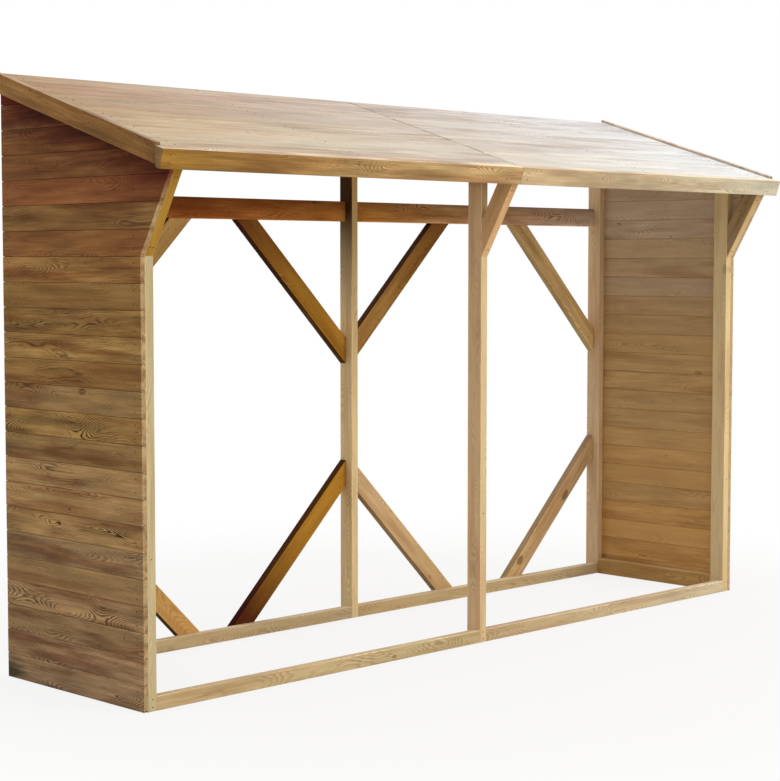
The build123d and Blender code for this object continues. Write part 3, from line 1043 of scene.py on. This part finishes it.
def key_light():
    """A square softbox that looks at the store and gives its share of the plain level."""
    lamp = bpy.data.lights.new("key_softbox", "AREA")
    lamp.size = KEY_WIDTH
    lamp.energy = KEY_SHARE * math.pi ** 2 * (KEY_TARGET - KEY_PLACE).length ** 2
    lamp.color = linear(KEY_TINT)[:3]
    stand = new_object("key_softbox", lamp)
    stand.location = KEY_PLACE
    stand.rotation_euler = (KEY_TARGET - KEY_PLACE).to_track_quat("-Z", "Y").to_euler()
    return lamp

def studio_sky():
    """A sky that lights the store from above and that the camera sees as white."""
    world, add = blank(bpy.data.worlds, "studio_sky")
    ray = add("ShaderNodeLightPath").outputs
    seen = add(LARGER, [ray["Is Camera Ray"], ray["Is Glossy Ray"]])
    shown = add(LARGER, [seen, ray["Is Transmission Ray"]])
    way = add("ShaderNodeTexCoord").outputs["Generated"]
    height = add(SPLIT_XYZ, [way]).outputs["Z"]
    level = add(RANGE, [height, *HORIZON_TO_ZENITH])
    light = add("ShaderNodeBackground", {"Color": linear(SKY_TINT), "Strength": level})
    white = add("ShaderNodeBackground", {"Color": WHITE, "Strength": 1.0})
    either = add("ShaderNodeMixShader", [shown, light, white])
    add("ShaderNodeOutputWorld", {"Surface": either})
    return world

key = key_light()
bpy.context.scene.world = studio_sky()
bpy.context.scene.view_settings.view_transform = "Standard"
print("key softbox of", round(key.energy), "W")

# %% [markdown]
# The floor is a sheet of pale matt paper that sends some light up under the rails. To the camera it glows
# and fades into the white background, so only a faint shadow is left round the store's feet.

# %% Floor
FLOOR_REACH = 40.0
FLOOR_DROP = 0.5 * MM
FLOOR_TONE = "#C8C6C0"
FLOOR_FADE = (1.6, 3.6, 0.84, 1.0)

def pale_paper():
    """Matt paper without any shine, which the camera sees whiter with the distance from the store."""
    material, add = blank(bpy.data.materials, "pale_paper_floor")
    camera_ray = add("ShaderNodeLightPath").outputs["Is Camera Ray"]
    place = add("ShaderNodeTexCoord").outputs["Object"]
    away = add(VECTOR, [place], operation="LENGTH").outputs["Value"]
    fade = add(SMOOTH_RANGE, [away, *FLOOR_FADE])
    glow_share = add(TIMES, [fade, camera_ray])
    matt = add("ShaderNodeBsdfDiffuse", {"Color": linear(FLOOR_TONE)})
    glow = add("ShaderNodeEmission", {"Color": WHITE, "Strength": 1.0})
    paper = add("ShaderNodeMixShader", [glow_share, matt, glow])
    add("ShaderNodeOutputMaterial", {"Surface": paper})
    return material

floor_mesh = bpy.data.meshes.new("floor")
floor_ways = ((-1, -1), (1, -1), (1, 1), (-1, 1))
floor_corners = [(x * FLOOR_REACH, y * FLOOR_REACH, -FLOOR_DROP) for x, y in floor_ways]
floor_mesh.from_pydata(floor_corners, [], [(0, 1, 2, 3)])
floor_mesh.materials.append(pale_paper())
floor = new_object("floor", floor_mesh)
print("floor", 2 * FLOOR_REACH, "m wide")

# %% [markdown]
# The camera stands where the photographer stood: at eye height, left of the store, looking across it. Its
# place, turn and focal length come from fitting the store's corners to the picture.

# %% Camera
FRAME_WIDTH = 780
FOCAL_PIXELS = 1885.9
SENSOR_WIDTH = 36.0
CAMERA_PLACE = (-5.3835, -5.1855, 1.4782)
CAMERA_DOWN = 3.901
CAMERA_TURN = -44.886
lens = bpy.data.cameras.new("camera")
lens.sensor_fit = "HORIZONTAL"
lens.sensor_width = SENSOR_WIDTH
lens.lens = FOCAL_PIXELS / FRAME_WIDTH * SENSOR_WIDTH
camera = new_object("camera", lens)
camera.location = CAMERA_PLACE
camera.rotation_euler = (math.radians(90 - CAMERA_DOWN), 0, math.radians(CAMERA_TURN))
bpy.context.scene.camera = camera
print("lens of", round(lens.lens, 1), "mm")
